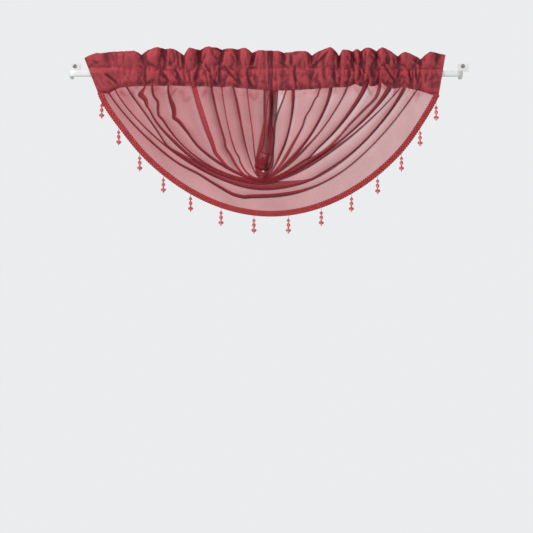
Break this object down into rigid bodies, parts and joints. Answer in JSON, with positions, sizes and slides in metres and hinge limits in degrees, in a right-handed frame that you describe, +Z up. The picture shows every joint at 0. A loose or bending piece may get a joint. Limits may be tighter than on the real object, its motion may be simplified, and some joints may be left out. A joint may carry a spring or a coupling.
{
  "type": "festoon valance on a curtain rod",
  "caption": "Sheer scooped window valance: gathered heading with a frill on a flat rod, nested swag folds below, plaited braid and bead drops along the curved hem.",
  "frame": {"origin": "on the wall, midway between the rod's two ends, at the height of its centre line", "axes": "+X along the rod to the viewer's right, +Y into the wall, +Z up"},
  "size_m": [1.077, 0.071, 0.4987],
  "materials": {
    "voile": "sheer plain-weave voile, burgundy",
    "braid": "plaited braid with translucent bead drops, burgundy",
    "enamel": "white baked enamel, semi-gloss",
    "steel": "dull zinc"
  },
  "bodies": {
    "root": {"heading": "voile", "swag_panel": "voile", "braid_fringe": "braid", "rod": "enamel", "bracket_left": "enamel", "bracket_right": "enamel", "screw_left": "steel", "screw_right": "steel"}
  },
  "joints": []
}
